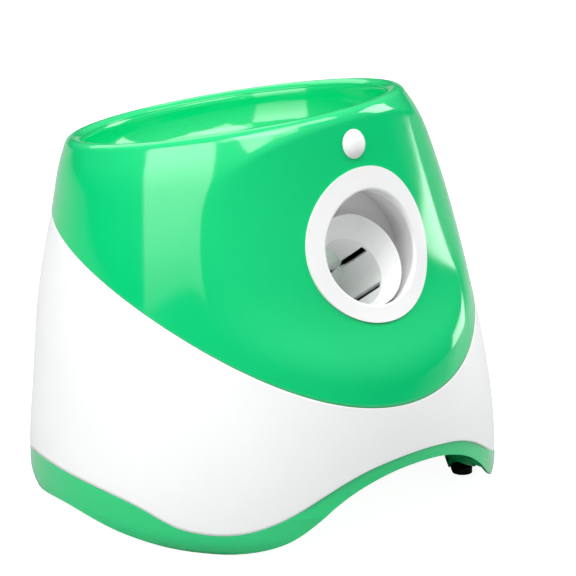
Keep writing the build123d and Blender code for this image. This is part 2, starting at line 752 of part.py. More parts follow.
with BuildPart() as sensor_board:
    with BuildSketch(sensor_board_plane):
        with Locations((0, -2)):
            Rectangle(30, 16)
    extrude(amount=BOARD)
    with BuildSketch(sensor_board_plane.offset(BOARD)):
        Circle(4.2)
    extrude(amount=3.4)
finish(sensor_board.part, "sensor_board")

# ---------------------------------------------------------------- barrel
feed_y, feed_z = on_bore(CHAMBER)
feed_plane = Plane(origin=(0, feed_y, feed_z), x_dir=(1, 0, 0), z_dir=OVER)
barrel_outer = BORE_RADIUS + BARREL_WALL
head_s = CHAMBER + BALL_RADIUS + HEAD_GAP
with BuildPart() as barrel:
    with BuildSketch(across(0)):
        Circle(barrel_outer)
    extrude(amount=-BARREL_LENGTH)
    with BuildSketch(across(0)):
        Circle(FLANGE_RADIUS)
    extrude(amount=-FLANGE)
    with BuildSketch(feed_plane):
        Circle(FEED_RADIUS + BARREL_WALL)
    extrude(amount=FEED_TOP)
    for side in (-1, 1):
        with BuildSketch(beside(side * PLATE_X)):
            with Locations(*[(s, 0) for s in BARREL_LUGS]):
                Circle(LUG_RADIUS)
        extrude(amount=-side * (PLATE_X - BORE_RADIUS - 1))
    with BuildSketch(across(0)):
        Circle(BORE_RADIUS)
    extrude(amount=-BARREL_LENGTH, mode=Mode.SUBTRACT)
    with BuildSketch(feed_plane.offset(6)):
        Circle(FEED_RADIUS)
    extrude(amount=FEED_TOP, mode=Mode.SUBTRACT)
    with BuildSketch(across(SLOT_START)):
        for angle in (SLOT_ANGLE, 180 - SLOT_ANGLE, 180 + SLOT_ANGLE, -SLOT_ANGLE):
            turn = math.radians(angle)
            place = ((barrel_outer - 1) * math.cos(turn), (barrel_outer - 1) * math.sin(turn))
            with Locations(Location(place, angle)):
                Rectangle(8, SLOT_WIDTH)
    extrude(amount=-(SLOT_END - SLOT_START), mode=Mode.SUBTRACT)
    with BuildSketch(across(head_s - 1)):
        with Locations((0, -barrel_outer)):
            Rectangle(WEB + 1.4, 12)
    extrude(amount=-(BARREL_LENGTH - head_s + 1), mode=Mode.SUBTRACT)
    for side in (-1, 1):
        with BuildSketch(beside(side * PLATE_X)):
            with Locations(*[(s, 0) for s in BARREL_LUGS]):
                Circle(SCREW_RADIUS)
        extrude(amount=-side * 5, mode=Mode.SUBTRACT)
finish(barrel.part, "barrel")

with BuildPart() as barrel_cap:
    with BuildSketch(across(BARREL_LENGTH - CAP_THICK)):
        Circle(BORE_RADIUS)
    extrude(amount=-CAP_THICK)
    with BuildSketch(across(BARREL_LENGTH)):
        Circle(barrel_outer)
    extrude(amount=-2.5)
    with BuildSketch(across(BARREL_LENGTH - CAP_THICK)):
        Circle(STEM_RADIUS + 1.8)
    extrude(amount=-(CAP_THICK + 2.5), mode=Mode.SUBTRACT)
finish(barrel_cap.part, "barrel_cap")

with BuildPart() as stem_bush:
    with BuildSketch(across(BARREL_LENGTH - CAP_THICK)):
        Circle(STEM_RADIUS + 1.8)
        Circle(STEM_RADIUS + RUN, mode=Mode.SUBTRACT)
    extrude(amount=-(CAP_THICK + 2.5))
finish(stem_bush.part, "stem_bush")

# ---------------------------------------------------------------- plunger
tooth_pitch = math.pi * MODULE
rack_root = -RACK_LINE + 1.05 * MODULE
rack_tip = -RACK_LINE - 0.8 * MODULE
slope = math.tan(math.radians(PRESSURE_ANGLE))
rack_line = []
for index in range(-RACK_AHEAD, 2):
    middle = SECTOR_S + (index + 0.5) * tooth_pitch
    half = tooth_pitch / 4 - BACKLASH / 4
    rack_line += [
        (middle - half - 1.05 * MODULE * slope, rack_root),
        (middle - half + 0.8 * MODULE * slope, rack_tip),
        (middle + half - 0.8 * MODULE * slope, rack_tip),
        (middle + half + 1.05 * MODULE * slope, rack_root),
    ]
rail_top = rack_root + 4
rack_line = [(rack_line[0][0] - 1, rack_root)] + rack_line + [(rack_line[-1][0] + 1, rack_root)]
with BuildPart() as plunger:
    with BuildSketch(across(head_s + STRIKER_THICK)):
        Circle(BORE_RADIUS - HEAD_CLEAR)
    extrude(amount=-HEAD_THICK)
    with BuildSketch(across(head_s + STRIKER_THICK + HEAD_THICK / 2)):
        Circle(18)
        Circle(STEM_RADIUS + 3, mode=Mode.SUBTRACT)
    extrude(amount=-HEAD_THICK, mode=Mode.SUBTRACT)
    with BuildSketch(across(head_s + STRIKER_THICK)):
        Circle(STEM_RADIUS)
    extrude(amount=-(BARREL_LENGTH + 2.5 + STEM_TAIL - head_s - STRIKER_THICK))
    with BuildSketch(beside(-WEB / 2)):
        with Locations((head_s + STRIKER_THICK, rail_top - 0.5)):
            Rectangle(WEB_LENGTH, abs(rail_top) - 14, align=(Align.MIN, Align.MIN))
    extrude(amount=WEB)
    with BuildSketch(beside(-RACK_WIDTH / 2)):
        with BuildLine():
            Polyline(rack_line + [(rack_line[-1][0], rail_top), (rack_line[0][0], rail_top)], close=True)
        make_face()
    extrude(amount=RACK_WIDTH)
finish(plunger.part, "plunger")

with BuildPart() as striker_pad:
    with BuildSketch(across(head_s)):
        Circle(17)
    extrude(amount=-STRIKER_THICK)
finish(striker_pad.part, "striker_pad")

spring_front = head_s + STRIKER_THICK + HEAD_THICK / 2
spring_length = BARREL_LENGTH - CAP_THICK - spring_front
coil_height = spring_length - 2 * SPRING_WIRE
with BuildPart() as plunger_spring:
    with BuildLine():
        start = (0, *on_bore(spring_front + SPRING_WIRE))
        pitch = coil_height / SPRING_TURNS
        coil = Helix(pitch, coil_height, SPRING_RADIUS, center=start, direction=BACK)
    with BuildSketch(Plane(origin=coil @ 0, z_dir=coil % 0)):
        Circle(SPRING_WIRE)
    sweep()
finish(plunger_spring.part, "plunger_spring")

# ---------------------------------------------------------------- gear train
sector_place = (SECTOR_S, -RACK_LINE - MODULE * SECTOR_TEETH / 2)
first_distance = FINE_MODULE * (OUTPUT_TEETH + STEP_TEETH) / 2
compound_place = (
    sector_place[0] + first_distance * math.cos(math.radians(COMPOUND_BEARING)),
    sector_place[1] + first_distance * math.sin(math.radians(COMPOUND_BEARING)),
)
second_distance = MOTOR_MODULE * (WHEEL_TEETH + PINION_TEETH) / 2
motor_place = (
    compound_place[0] + second_distance * math.cos(math.radians(MOTOR_BEARING)),
    compound_place[1] + second_distance * math.sin(math.radians(MOTOR_BEARING)),
)
low_x = -SECTOR_WIDTH / 2
first = 90 - 360 / SECTOR_TEETH
sector_gear = gear(sector_place, MODULE, SECTOR_TEETH, first, low_x, SECTOR_WIDTH, SHAFT_RADIUS, SECTOR_KEPT)
finish(sector_gear, "sector_gear")
with BuildPart() as output_gear:
    first = COMPOUND_BEARING
    add(gear(sector_place, FINE_MODULE, OUTPUT_TEETH, first, OUTPUT_X, OUTPUT_WIDTH, SHAFT_RADIUS))
    with BuildSketch(beside(SECTOR_WIDTH / 2)):
        with Locations(sector_place):
            Circle(5)
            Circle(SHAFT_RADIUS, mode=Mode.SUBTRACT)
    extrude(amount=OUTPUT_X - SECTOR_WIDTH / 2)
    for recess_x in (OUTPUT_X, OUTPUT_X + OUTPUT_WIDTH - 2):
        with BuildSketch(beside(recess_x)):
            with Locations(sector_place):
                Circle(FINE_MODULE * OUTPUT_TEETH / 2 - 4)
                Circle(6, mode=Mode.SUBTRACT)
        extrude(amount=2, mode=Mode.SUBTRACT)
finish(output_gear.part, "output_gear")
with BuildPart() as compound_gear:
    step_x = OUTPUT_X - 0.5
    first = COMPOUND_BEARING + 180 + 180 / STEP_TEETH
    add(gear(compound_place, FINE_MODULE, STEP_TEETH, first, step_x, WHEEL_X - step_x, SHAFT_RADIUS + RUN))
    add(gear(compound_place, MOTOR_MODULE, WHEEL_TEETH, MOTOR_BEARING, WHEEL_X, 4.5, SHAFT_RADIUS + RUN))
finish(compound_gear.part, "compound_gear")
first = MOTOR_BEARING + 180 + 180 / PINION_TEETH
finish(gear(motor_place, MOTOR_MODULE, PINION_TEETH, first, WHEEL_X - 0.3, 5.1, 1.0), "motor_pinion")
finish(rod(*sector_place, SHAFT_RADIUS, -PLATE_X - PLATE - 1.5, PLATE_X + PLATE + 1.5), "sector_shaft")
finish(rod(*compound_place, SHAFT_RADIUS, -PLATE_X - PLATE, PLATE_X + PLATE), "compound_axle")
finish(rod(*motor_place, 1.0, WHEEL_X - 0.8, PLATE_X + PLATE + 12), "motor_shaft")

with BuildPart() as switch_cam:
    with BuildSketch(beside(CAM_X)):
        with Locations(sector_place):
            Circle(CAM_RADIUS)
            with Locations((-CAM_RADIUS, 0)):
                Circle(4, mode=Mode.SUBTRACT)
            Circle(SHAFT_RADIUS, mode=Mode.SUBTRACT)
    extrude(amount=3)
finish(switch_cam.part, "switch_cam")

with BuildPart() as position_switch:
    with BuildSketch(beside(-PLATE_X)):
        with Locations((sector_place[0], sector_place[1] + CAM_RADIUS + 6.5)):
            Rectangle(20, 9)
    extrude(amount=6)
    with BuildSketch(beside(CAM_X)):
        with Locations((sector_place[0] - 4, sector_place[1] + CAM_RADIUS + 1.2)):
            Rectangle(3, 1.8)
    extrude(amount=3)
finish(position_switch.part, "position_switch")

with BuildPart() as motor:
    outer_face = PLATE_X + PLATE
    for radius, start, length in (
        (3.0, PLATE_X, PLATE),
        (MOTOR_RADIUS, outer_face, MOTOR_LENGTH),
        (4.0, outer_face + MOTOR_LENGTH, 2),
    ):
        with BuildSketch(beside(start)):
            with Locations(motor_place):
                Circle(radius)
        extrude(amount=length)
    with BuildSketch(beside(PLATE_X)):
        with Locations(motor_place):
            Circle(1.0 + RUN)
    extrude(amount=PLATE + 13, mode=Mode.SUBTRACT)
finish(motor.part, "motor")

# ---------------------------------------------------------------- mechanism frame
for name, side in (("frame_left", -1), ("frame_right", 1)):
    with BuildPart() as plate:
        with BuildSketch(upright(side * PLATE_X)):
            with BuildLine():
                Polyline(FRAME_OUTLINE, close=True)
            make_face()
            fillet(vertices().sort_by(Axis.Y)[2:], 6)
        extrude(amount=side * PLATE)
        with BuildSketch(beside(side * PLATE_X)):
            with Locations(sector_place):
                Circle(BUSH_RADIUS)
            with Locations(compound_place):
                Circle(SHAFT_RADIUS)
            with Locations(*[(s, 0) for s in BARREL_LUGS]):
                Circle(SCREW_RADIUS)
            if side > 0:
                with Locations(motor_place):
                    Circle(3.0)
        extrude(amount=side * PLATE, mode=Mode.SUBTRACT)
        foot_x = sorted((side * (PLATE_X + 1), side * (PLATE_X + PLATE + 12)))
        low = FRAME_OUTLINE[0][1]
        for x, y in FRAME_FEET:
            add(block(foot_x, (y - 6, y + 6), (low, low + PLATE)))
            add(pegs([(side * x, y)], SCREW_RADIUS, low, low + PLATE), mode=Mode.SUBTRACT)
        with BuildSketch(upright(side * PLATE_X)):
            with Locations(*SPACER_PLACES):
                Circle(SCREW_RADIUS)
        extrude(amount=side * PLATE, mode=Mode.SUBTRACT)
    finish(plate.part, name)

with BuildPart() as frame_screws:
    for x, y in frame_feet:
        add(screw((x, y, FRAME_OUTLINE[0][1] + PLATE), (0, 0, -1), FRAME_SCREW))
    for side in (-1, 1):
        for y, z in SPACER_PLACES + [on_bore(s) for s in BARREL_LUGS]:
            add(screw((side * (PLATE_X + PLATE), y, z), (-side, 0, 0), FRAME_SCREW))
finish(frame_screws.part, "frame_screws")

with BuildPart() as frame_spacers:
    with BuildSketch(upright(-PLATE_X)):
        with Locations(*SPACER_PLACES):
            Circle(SPACER_RADIUS)
            Circle(SCREW_RADIUS, mode=Mode.SUBTRACT)
    extrude(amount=2 * PLATE_X)
finish(frame_spacers.part, "frame_spacers")

with BuildPart() as shaft_bushes:
    for side in (-1, 1):
        with BuildSketch(beside(side * PLATE_X)):
            with Locations(sector_place):
                Circle(BUSH_RADIUS)
                Circle(SHAFT_RADIUS + RUN, mode=Mode.SUBTRACT)
        extrude(amount=side * PLATE)
        with BuildSketch(beside(side * (PLATE_X + PLATE))):
            with Locations(sector_place):
                Circle(BUSH_FLANGE)
                Circle(SHAFT_RADIUS + RUN, mode=Mode.SUBTRACT)
        extrude(amount=side)
finish(shaft_bushes.part, "shaft_bushes")


# ---------------------------------------------------------------- electrics
with BuildPart() as control_board:
    board_x, board_y, board_z = CONTROL_BOARD
    add(block(board_x, board_y, (board_z, board_z + BOARD)))
    add(block((-84, -72), (-8, 4), (board_z + BOARD, board_z + 3.4)))
    add(block((-94, -88), (8, 24), (board_z + BOARD, board_z + 8)))
    add(block((-64, -56), (12, 22), (board_z + BOARD, board_z + 12)))
    add(pegs([(-80, 22), (-68, -22)], 4, board_z + BOARD, board_z + 12))
finish(control_board.part, "control_board")

with BuildPart() as rear_board:
    add(block((-34, 34), (REAR_BOARD_Y, REAR_BOARD_Y + BOARD), (FLOOR_Z + FLOOR, REAR_BOARD_TOP)))
finish(rear_board.part, "rear_board")


with BuildPart() as power_button:
    with BuildSketch(rear_plane(BUTTON_X, 126)):
        Circle(BUTTON_RADIUS)
    extrude(amount=BUTTON_FACE_Y - 126)
    fillet(power_button.edges().sort_by(Axis.Y)[-1], 1.2)
    with BuildSketch(rear_plane(BUTTON_X, 126)):
        Circle(BUTTON_RADIUS + 1.4)
    extrude(amount=2)
finish(power_button.part, "power_button")

with BuildPart() as button_switch:
    with BuildSketch(rear_plane(BUTTON_X, REAR_BOARD_Y + BOARD)):
        Rectangle(12, 12)
    extrude(amount=126 - BUTTON_TRAVEL - 0.2 - REAR_BOARD_Y - BOARD)
finish(button_switch.part, "button_switch")

with BuildPart() as dc_jack:
    with BuildSketch(rear_plane(JACK_X, REAR_BOARD_Y + BOARD)):
        Circle(JACK_RADIUS)
    extrude(amount=134.0 - REAR_BOARD_Y - BOARD)
    with BuildSketch(rear_plane(JACK_X, 134.0)):
        Circle(2.9)
        Circle(1.0, mode=Mode.SUBTRACT)
    extrude(amount=-9.5, mode=Mode.SUBTRACT)
finish(dc_jack.part, "dc_jack")
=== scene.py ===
# %% [markdown]
# # An automatic ball launcher for small dogs
#
# The real object is a small machine inside five mouldings: a green upper shell with a hopper bowl, a
# white lower shell, a green base on four feet, and a white muzzle round a flared barrel mouth. The solids
# come from the construction model. This lesson gives every piece its plastic or metal, and works out the
# two large outer shells again as smooth surfaces, because a glossy shell shows every facet in its
# reflections that a flat colour hides.

# %% Tools and the frame
import json
import math

import bpy
import numpy as np
from mathutils import Matrix, Vector


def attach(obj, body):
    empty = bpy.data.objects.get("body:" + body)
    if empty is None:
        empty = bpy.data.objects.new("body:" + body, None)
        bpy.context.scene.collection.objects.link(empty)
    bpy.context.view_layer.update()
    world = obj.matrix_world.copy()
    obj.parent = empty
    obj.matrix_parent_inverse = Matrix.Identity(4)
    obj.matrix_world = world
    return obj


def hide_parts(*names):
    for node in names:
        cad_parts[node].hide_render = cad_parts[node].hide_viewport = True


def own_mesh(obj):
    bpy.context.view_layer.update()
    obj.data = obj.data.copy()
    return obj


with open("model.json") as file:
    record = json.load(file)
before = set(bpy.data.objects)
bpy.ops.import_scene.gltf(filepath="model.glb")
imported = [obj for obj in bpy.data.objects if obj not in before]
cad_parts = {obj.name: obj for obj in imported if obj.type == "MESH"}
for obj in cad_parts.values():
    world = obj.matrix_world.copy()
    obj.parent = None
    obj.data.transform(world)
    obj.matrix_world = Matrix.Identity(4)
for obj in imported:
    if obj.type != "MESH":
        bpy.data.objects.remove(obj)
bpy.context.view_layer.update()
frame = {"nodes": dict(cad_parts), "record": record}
nodes = frame["nodes"]
MM = 0.001
print("solids in the frame:", len(nodes))

# %% [markdown]
# ## Camera
#
# A long lens far away keeps the round body's sides nearly parallel, as product pictures do. The camera
# stands to the left of the launch direction and looks slightly down, so that the muzzle, the rim of the
# bowl and the sweep of white round the side all show at once.

# %% Camera
AZIMUTH = -41.9                 # degrees round the object, 0 in front of the muzzle
ELEVATION = 19.55
DISTANCE = 3.016                # metres
LENS, SENSOR = 319.4, 36.0      # focal length and the sensor's width in millimetres
TARGET = np.array((0.02024, 0.0, 0.1123))


def towards(azimuth, elevation):
    """Unit vector from the object: azimuth turns from the front to +X, elevation rises from the floor."""
    a, e = math.radians(azimuth), math.radians(elevation)
    return np.array((math.sin(a) * math.cos(e), -math.cos(a) * math.cos(e), math.sin(e)))


camera_data = bpy.data.cameras.new("camera")
camera_data.lens = LENS
camera_data.sensor_width = SENSOR
camera_data.clip_end = 50.0
camera = bpy.data.objects.new("camera", camera_data)
bpy.context.scene.collection.objects.link(camera)
camera.location = TARGET + DISTANCE * towards(AZIMUTH, ELEVATION)
camera.rotation_mode = "QUATERNION"
camera.rotation_quaternion = (Vector(TARGET) - camera.location).to_track_quat("-Z", "Y")
bpy.context.scene.camera = camera
print("camera at", [round(value, 3) for value in camera.location])

# %% [markdown]
# ## Small helpers for materials
#
# Colours are written as sRGB hex, as a paint chart gives them, and turned to the linear values that the
# shader works in. One function adds a node, sets its values and makes its links, and the helpers after it
# name what moulded plastic needs: blotches of a known size, a range, a tint between two colours and a
# fine relief.

# %% Helpers for materials


def colour(code):
    """Linear RGBA of an sRGB hex code: each channel goes through the sRGB transfer curve."""
    values = np.array([int(code[i:i + 2], 16) / 255 for i in (1, 3, 5)])
    linear = np.where(values <= 0.04045, values / 12.92, ((values + 0.055) / 1.055) ** 2.4)
    return (*linear.tolist(), 1.0)


def node(tree, kind, inputs=None, **settings):
    """Add one node; inputs are plain values or the output sockets that feed them."""
    made = tree.nodes.new(kind)
    for key, value in settings.items():
        setattr(made, key, value)
    for key, value in (inputs or {}).items():
        if isinstance(value, bpy.types.NodeSocket):
            tree.links.new(value, made.inputs[key])
        else:
            made.inputs[key].default_value = value
    return made


def start_material(name):
    """A new material with an empty tree, its object coordinates and its output."""
    made = bpy.data.materials.new(name)
    made.use_nodes = True
    tree = made.node_tree
    tree.nodes.clear()
    place = node(tree, "ShaderNodeTexCoord").outputs["Object"]
    output = node(tree, "ShaderNodeOutputMaterial")
    return made, tree, place, output


def noise(tree, place, size_mm, detail=2.0):
    """Noise whose blotches are about size_mm across."""
    settings = {"Vector": place, "Scale": 1 / (size_mm * MM), "Detail": detail, "Roughness": 0.5}
    return node(tree, "ShaderNodeTexNoise", settings).outputs["Fac"]


def between(tree, value, low, high):
    """Stretch a 0 to 1 value to the range low to high."""
    settings = {"Value": value, "To Min": low, "To Max": high}
    return node(tree, "ShaderNodeMapRange", settings).outputs["Result"]


def tint(tree, value, dark, light):
    """Blend from the dark to the light colour as the value goes from 0 to 1."""
    ends = {0: value, 6: colour(dark), 7: colour(light)}
    return node(tree, "ShaderNodeMix", ends, data_type="RGBA", clamp_factor=True).outputs[2]


def bumps(tree, height, strength, depth_mm):
    """Normal of a relief depth_mm deep."""
    settings = {"Height": height, "Strength": strength, "Distance": depth_mm * MM}
    return node(tree, "ShaderNodeBump", settings).outputs["Normal"]


print("mid grey in linear values:", round(colour("#808080")[0], 3))

# %% [markdown]
# ## Moulded and turned surfaces
#
# All the object's materials come out of a tool: a mould, a lathe or a drawing die. What the eye sees is
# the same kind of thing at different strengths, so one function makes them: a slow drift of colour, a
# drift of gloss from handling, and the relief that the tool's surface left.

# %% A moulded or turned surface
DRIFT_MM = 45.0                 # size of the patches in which the colour drifts
SMEAR_MM = 9.0                  # size of the patches where handling has dulled or polished the gloss


def tooled(name, dark, light, rough, gloss_ior, grain_mm, grain_depth, grain_strength, **extra):
    """Drift of colour and gloss, and fine relief; extra names more of the shader's own sockets."""
    made, tree, place, output = start_material(name)
    drift = noise(tree, place, DRIFT_MM)
    smears = noise(tree, place, SMEAR_MM, 3.0)
    grain = noise(tree, place, grain_mm, 1.0)
    surface = {
        "Base Color": tint(tree, drift, dark, light),
        "Roughness": between(tree, smears, rough[0], rough[1]),
        "Normal": bumps(tree, grain, grain_strength, grain_depth),
        "IOR": gloss_ior,
    }
    shader = node(tree, "ShaderNodeBsdfPrincipled", surface)
    for key, value in extra.items():
        shader.inputs[key.replace("_", " ")].default_value = value
    tree.links.new(shader.outputs[0], output.inputs["Surface"])
    return made


print("colour drifts over", DRIFT_MM, "mm and gloss over", SMEAR_MM, "mm")

# %% [markdown]
# ## Plastics of the housing
#
# The housing is ABS, a tough plastic made of acrylonitrile, butadiene and styrene. Where the steel mould
# is polished, the moulding mirrors a lamp as a strip with clean edges, as the green shell does. Where the
# mould is etched, the highlight spreads out to a satin sheen, as on the white lower shell. ABS bends
# light like most plastics, with an index near 1.53.

# %% Plastics of the housing
# Coloured all through and moulded against polished steel: deep green under sharp mirror strips.
green_abs = tooled(
    "moulded_green_abs", "#00C271", "#00C876", (0.07, 0.12), 1.53, 1.6, 0.02, 0.05,
    Specular_IOR_Level=0.62,
)
# Moulded against etched steel: a soft sheen with no mirror image. The real grain is near 0.1 mm, too fine
# to show, so it is drawn at 0.45 mm.
white_abs = tooled("etched_white_abs", "#EDEDED", "#F1F1F0", (0.36, 0.44), 1.50, 0.45, 0.02, 0.25)
# Half-polished mould: the bezel's rounded edge catches one soft highlight.
muzzle_abs = tooled("moulded_white_abs", "#EDEDEC", "#F1F1F0", (0.18, 0.26), 1.53, 1.2, 0.02, 0.06)
# The same white resin, its colour painted brighter than the muzzle's to stand in for light inside the bore;
# a smooth core pin lets balls slide.
bore_brightened_abs = tooled("white_abs_painted_brighter", "#FAFAFA", "#FCFCFC", (0.20, 0.28), 1.53, 1.2, 0.02, 0.06)
# The sensor's dome is thin polyethylene, which lets heat rays through and looks like milk.
lens_pe = tooled("milky_polyethylene", "#E9E9E8", "#F1F1F0", (0.28, 0.36), 1.51, 0.8, 0.02, 0.08)
print("made:", [made.name for made in (green_abs, white_abs, muzzle_abs, bore_brightened_abs, lens_pe)])

# %% [markdown]
# ## Materials of the works
#
# Gears, plunger and bushes are acetal, a waxy white plastic that runs dry. The frames are nylon filled
# with glass, whose fibres leave a matt black skin. The feet are rubber, the boards are glass epoxy under
# green solder mask, and shafts, screws and springs are turned or drawn metal. Their grain is mostly finer
# than 0.2 mm, too fine to show, so it is drawn at 0.3 to 0.6 mm.

# %% Materials of the works
# Waxy and slightly yellow: acetal straight from the mould.
acetal = tooled("moulded_acetal", "#DAD8CE", "#E4E2DA", (0.34, 0.46), 1.48, 0.5, 0.02, 0.15)
# Matt black with a faint grain from the glass fibres.
nylon = tooled("glass_filled_nylon", "#17181A", "#222325", (0.45, 0.60), 1.53, 0.35, 0.03, 0.35)
# Dull and nearly black: rubber gives back almost no highlight.
rubber = tooled("moulded_rubber", "#161616", "#202020", (0.72, 0.85), 1.50, 0.4, 0.04, 0.40)
# The green lacquer lies over the weave of the glass cloth.
circuit = tooled("solder_mask_on_glass_epoxy", "#0B4A26", "#125C31", (0.28, 0.40), 1.52, 0.6, 0.02, 0.15)
# Bright metal with the lathe's faint marks.
steel = tooled(
    "turned_steel", "#8F9296", "#A3A6A9", (0.22, 0.34), 1.5, 0.3, 0.01, 0.12,
    Metallic=1.0,
)
# Darker than turned steel, because drawing leaves a film of scale.
spring_wire = tooled(
    "drawn_spring_steel", "#7B7E82", "#8F9296", (0.25, 0.36), 1.5, 0.3, 0.01, 0.12,
    Metallic=1.0,
)
# Yellow metal that reddens slightly in its darker patches.
brass = tooled(
    "turned_brass", "#B98E3E", "#C89D4B", (0.22, 0.34), 1.5, 0.3, 0.01, 0.12,
    Metallic=1.0,
)
print("made:", [made.name for made in (acetal, nylon, rubber, circuit, steel, spring_wire, brass)])

# %% [markdown]
# ## Every solid gets its finish
#
# The record names a material slot for each solid. The barrel's three pieces share the muzzle's slot, but
# take a copy of the white resin painted brighter, as painted light in the bore.

# %% Finishes
FINISH = {
    "green_gloss": green_abs, "white_satin": white_abs, "white_gloss": muzzle_abs, "lens_milk": lens_pe,
    "acetal": acetal, "black_nylon": nylon, "steel": steel, "spring_steel": spring_wire, "brass": brass,
    "rubber": rubber, "circuit_board": circuit,
}
# The barrel's pieces take the white resin painted brighter, standing in for light in the bore.
BARREL_PIECES = ("barrel", "barrel_cap", "barrel_mouth")
for part in frame["record"]["subparts"]:
    mesh = nodes[part["node"]].data
    mesh.materials.clear()
    mesh.materials.append(bore_brightened_abs if part["node"] in BARREL_PIECES else FINISH[part["material_slot"]])

# %% [markdown]
# ## The outer form as a stack of circles
#
# The housing is a bell. Its sections are circles that lean back more and more towards the tilted rim, and
# its front is cut flatter by a surface turned about an upright axis behind the muzzle. The sizes are the
# construction model's own, in millimetres, and a smooth curve runs through each column of the table.

# %% Sizes of the outer form, in millimetres
RIM_Y, RIM_Z, RIM_LEAN = 23.8, 214.9, 13.5
RIM_RADIUS, LIP_RADIUS = 95.3, 5.75
SHOULDER_DROP, SHOULDER_RADIUS = 9.0, 105.9
SECTIONS = [                    # centre y, centre z, lean in degrees, radius
    (0.0, 0.0, 0.0, 137.4),
    (0.3, 28.0, 0.0, 137.7),
    (1.0, 60.0, 0.0, 135.2),
    (4.1, 95.0, 0.0, 131.0),
    (8.6, 130.0, 3.0, 124.8),
    (12.5, 163.0, 8.0, 118.0),
    (18.6, 190.5, RIM_LEAN, 110.9),
]
FACET_AXIS_Y = 47.0
FACET_LINE = [                  # y and z of the flatter front, seen from the side
    (-141.0, 78.0), (-123.6, 105.5), (-111.2, 126.5), (-95.3, 168.5), (-82.6, 210.0), (-74.6, 240.0),
]
HAIRLINE = 0.12                 # gap that a real joint shows
LIP_COVER = 0.08                # how far the upper shell's lip lies over the bowl's
LIP_START, LIP_END = 25.3, 152.0        # where the lip's roll leaves the wall, and where it ends
CREASE_ROUND = 3.0              # softness of the crease between the front and the sides
CREASE_FADE, CREASE_LEAST = 40.0, 0.15  # height over which it sharpens below the lip, and its least share
print("sections below the shoulder:", len(SECTIONS))

# %% [markdown]
# ## A smooth curve through a table
#
# Straight runs between the sections would break every reflection. A natural cubic spline bends as little
# as a thin wooden batten would, and needs only one small system of equations.

# %% Natural spline


def spline(x, y):
    """Natural cubic spline through points: its second derivatives solve one small linear system."""
    x, y = np.asarray(x, float), np.asarray(y, float)
    h = np.diff(x)
    system = np.eye(len(x))
    right = np.zeros((len(x),) + y.shape[1:])
    for i in range(1, len(x) - 1):
        system[i, i - 1:i + 2] = h[i - 1], 2 * (h[i - 1] + h[i]), h[i]
        right[i] = 6 * ((y[i + 1] - y[i]) / h[i] - (y[i] - y[i - 1]) / h[i - 1])
    bend = np.linalg.solve(system, right)

    def at(value):
        value = np.clip(np.asarray(value, float), x[0], x[-1])
        i = np.clip(np.searchsorted(x, value) - 1, 0, len(x) - 2)
        a, b = x[i + 1] - value, value - x[i]
        wide = h[i]
        if y.ndim > 1:
            a, b, wide = a[..., None], b[..., None], wide[..., None]
        cubic = (bend[i] * a**3 + bend[i + 1] * b**3) / (6 * wide)
        low_end = (y[i] / wide - bend[i] * wide / 6) * a
        high_end = (y[i + 1] / wide - bend[i + 1] * wide / 6) * b
        return cubic + low_end + high_end

    return at


print("spline through 0, 1 and 0, a quarter of the way:", spline([0, 1, 2], [0, 1, 0])(0.5))

# %% [markdown]
# ## The skin of the housing
#
# A point of the skin has two parameters: its height in the stack and its angle round the body. It is
# found on a leaning circle and then drawn in to the flatter front where it would stand past it. A smooth
# minimum of the two distances rounds the crease, as the mould's own radius does.

# %% Circles of the stack


def rim_ring(along, radius):
    """Row of the stack for a circle that far along the rim's own axis."""
    lean = math.radians(RIM_LEAN)
    return (RIM_Y + along * math.sin(lean), RIM_Z + along * math.cos(lean), RIM_LEAN, radius)


def lip_ring(angle):
    """Circle on the rolled lip, its angle measured from outwards over the top."""
    turn = math.radians(angle)
    radius = LIP_RADIUS + LIP_COVER
    return rim_ring(radius * math.sin(turn), RIM_RADIUS + radius * math.cos(turn))


def on_ring(ring, phi):
    """Point of a leaning circle at angle phi, which is 0 in front and turns towards +X."""
    lean = np.radians(ring[..., 2])
    back = -ring[..., 3] * np.cos(phi)
    side = ring[..., 3] * np.sin(phi)
    return np.stack([side, ring[..., 0] + back * np.cos(lean), ring[..., 1] - back * np.sin(lean)], axis=-1)


stack = np.array(SECTIONS + [rim_ring(-SHOULDER_DROP, SHOULDER_RADIUS), lip_ring(LIP_START)])
ring_at = spline(stack[:, 1], stack)
top_height = stack[-1, 1]
facet_at = spline([z for y, z in FACET_LINE], [y for y, z in FACET_LINE])
print("circles in the stack:", len(stack), "up to", round(top_height, 1), "mm")

# %% Skin of the housing


def flattened(points, height):
    """Draw points in to the flatter front, with a smooth minimum of two distances from its axis."""
    across, along = points[..., 0], points[..., 1] - FACET_AXIS_Y
    far = np.hypot(across, along)
    limit = FACET_AXIS_Y - facet_at(points[..., 2])
    soft = CREASE_ROUND * np.clip((top_height - height) / CREASE_FADE, CREASE_LEAST, 1.0)
    mix = np.clip(0.5 + 0.5 * (limit - far) / soft, 0.0, 1.0)
    near = limit * (1 - mix) + far * mix - soft * mix * (1 - mix)
    near = np.where(points[..., 2] > FACET_LINE[0][1], near, far)
    scale = near / far
    return np.stack([across * scale, FACET_AXIS_Y + along * scale, points[..., 2]], axis=-1)


def skin(height, phi):
    """The housing's outside at a stack height and an angle: a circle of the stack, flattened in front."""
    return flattened(on_ring(ring_at(height), phi), height)


HALVINGS = 40                   # far more halvings than the grid needs


def height_where(line, phi, low, high):
    """Stack height at which the skin meets a line, found by halving for every angle at once."""
    low, high = np.full(phi.shape, low), np.full(phi.shape, high)
    for _ in range(HALVINGS):
        middle = (low + high) / 2
        points = skin(middle, phi)
        over = points[..., 2] > line(points)
        high = np.where(over, middle, high)
        low = np.where(over, low, middle)
    return (low + high) / 2


front = skin(np.array([150.0]), np.array([0.0]))
print("front of the skin at a stack height of 150 mm:", np.round(front, 1))

# %% [markdown]
# ## The two lines that divide the colours
#
# The green upper shell meets the white one along a single sweep, seen from the side as one curve. The
# green base meets the white along a line that rises over each low arch between the feet.

